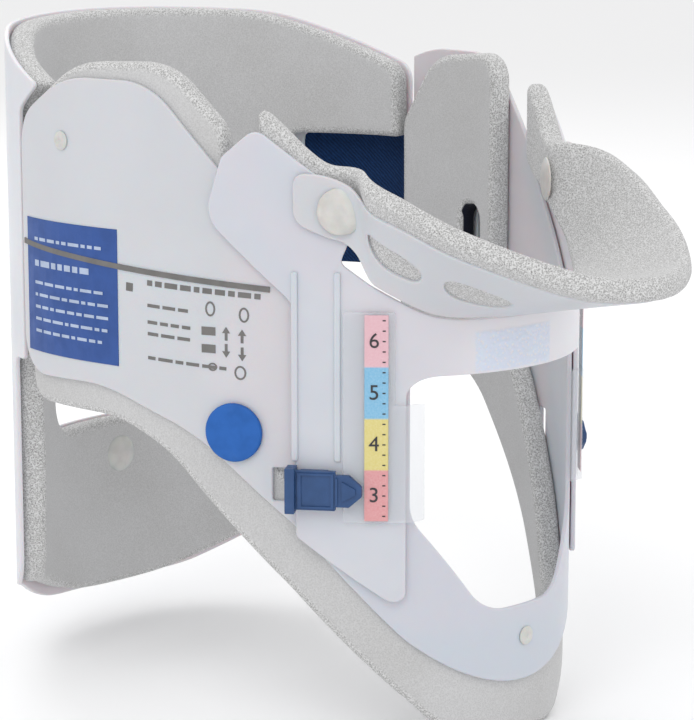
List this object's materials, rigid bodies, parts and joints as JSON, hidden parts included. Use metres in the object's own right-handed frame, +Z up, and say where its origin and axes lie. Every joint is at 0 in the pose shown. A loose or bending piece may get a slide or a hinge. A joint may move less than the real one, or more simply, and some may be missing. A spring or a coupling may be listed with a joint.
{
  "type": "cervical collar",
  "caption": "Ring-shaped foam-lined plastic neck collar with a sliding chin shelf, side locks, an open throat and a hinged back panel with a strap.",
  "frame": {"origin": "middle of the collar's box seen from above, on the plane that the chest foam's lowest edge touches; the centre of the neck ring is 20 mm behind it, at +Y", "axes": "-Y is the front (throat and chin), +Y the back of the neck, -X the patient's right, +Z up"},
  "size_m": [0.1324, 0.1978, 0.1694],
  "materials": {
    "shell": "satin polyethylene sheet, white, slightly translucent",
    "arch": "satin polyethylene sheet, milky",
    "clear": "clear-milky moulded polyethylene",
    "foam": "light grey closed-cell foam, fine cells, matte",
    "strap": "navy hook-and-loop",
    "rivet": "cream nylon",
    "label": "printed size scale in four colours",
    "lock": "satin blue nylon",
    "dot": "flat bright blue plastic",
    "info": "printed royal blue sticker"
  },
  "bodies": {
    "base": {"base_shell": "shell", "lobe_foam_right": "foam", "lobe_foam_left": "foam", "shoulder_foam": "foam", "loop_pad": "strap", "guide_plate_right": "clear", "guide_plate_left": "clear", "scale_label_right": "label", "scale_label_left": "label", "sizing_dot_right": "dot", "sizing_dot_left": "dot", "lobe_stud_right": "rivet", "lobe_stud_left": "rivet", "chest_stud": "rivet", "info_label": "info"},
    "chin": {"chin_carrier": "arch", "chin_strip": "arch", "chin_foam": "foam", "chin_rivet_right": "rivet", "chin_rivet_left": "rivet"},
    "lock_right": {"safety_lock_right": "lock"},
    "lock_left": {"safety_lock_left": "lock"},
    "back": {"back_panel": "shell", "back_foam": "foam", "closure_strap": "strap", "rear_rivet": "rivet"}
  },
  "joints": [
    {"name": "chin_raise", "type": "slide", "parent": "base", "child": "chin", "axis": [0, 0, 1], "range_m": [0, 0.0375]},
    {"name": "lock_right_pull", "type": "slide", "parent": "chin", "child": "lock_right", "axis": [-0.58, 0.8146, 0], "range_m": [0, 0.006]},
    {"name": "lock_left_pull", "type": "slide", "parent": "chin", "child": "lock_left", "axis": [0.58, 0.8146, 0], "range_m": [0, 0.006]},
    {"name": "panel_swing", "type": "hinge", "parent": "base", "child": "back", "pos_m": [-0.06231, 0.05538, 0.09], "axis": [0, 0, 1], "range_deg": [0, 75]}
  ]
}
